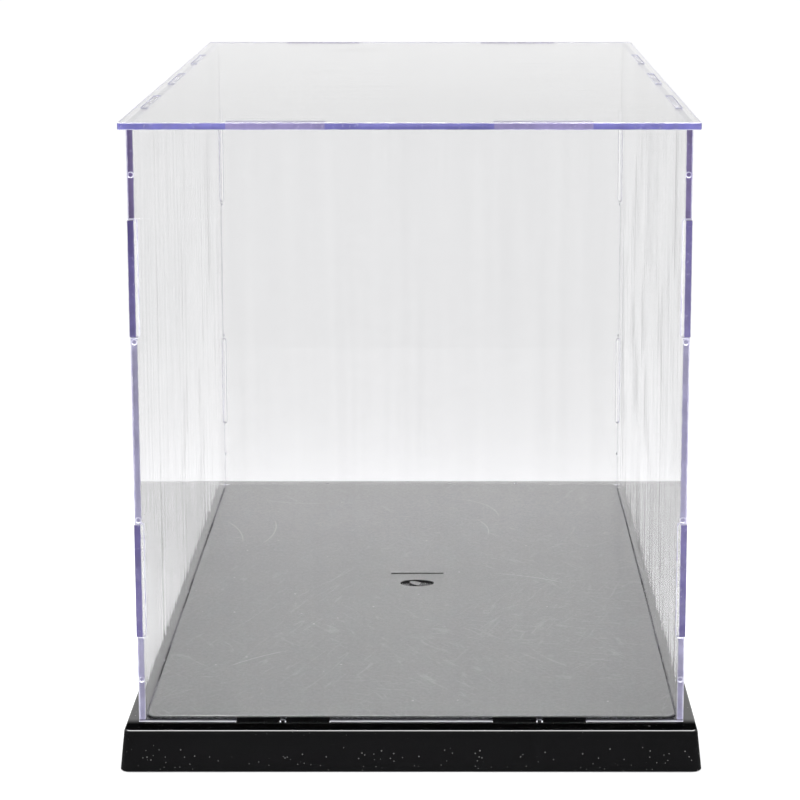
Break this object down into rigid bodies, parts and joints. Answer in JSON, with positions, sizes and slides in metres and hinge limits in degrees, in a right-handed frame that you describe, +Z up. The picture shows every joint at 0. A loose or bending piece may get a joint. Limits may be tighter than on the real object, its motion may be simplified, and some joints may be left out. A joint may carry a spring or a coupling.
{
  "type": "football display case",
  "caption": "Clear press-fit acrylic case with an overhanging top sheet, standing on a low black moulded plinth with a raised floor.",
  "frame": {"origin": "centre of the plinth's footprint, on the surface the case stands on", "axes": "+Z up, -Y to the front (narrow) wall, +X to the right wall as seen from the front"},
  "size_m": [0.25, 0.35, 0.28],
  "materials": {
    "black_plastic": "gloss injection-moulded black plastic with fine scratches",
    "clear_acrylic": "clear polished acrylic sheet with faintly violet edges"
  },
  "bodies": {
    "base": {"base": "black_plastic"},
    "walls": {"front_panel": "clear_acrylic", "rear_panel": "clear_acrylic", "left_panel": "clear_acrylic", "right_panel": "clear_acrylic"},
    "lid": {"top_panel": "clear_acrylic"}
  },
  "joints": [
    {"name": "cover_lift", "type": "slide", "parent": "base", "child": "walls", "axis": [0, 0, 1], "range_m": [0, 0.3]},
    {"name": "lid_lift", "type": "slide", "parent": "walls", "child": "lid", "axis": [0, 0, 1], "range_m": [0, 0.1]}
  ]
}
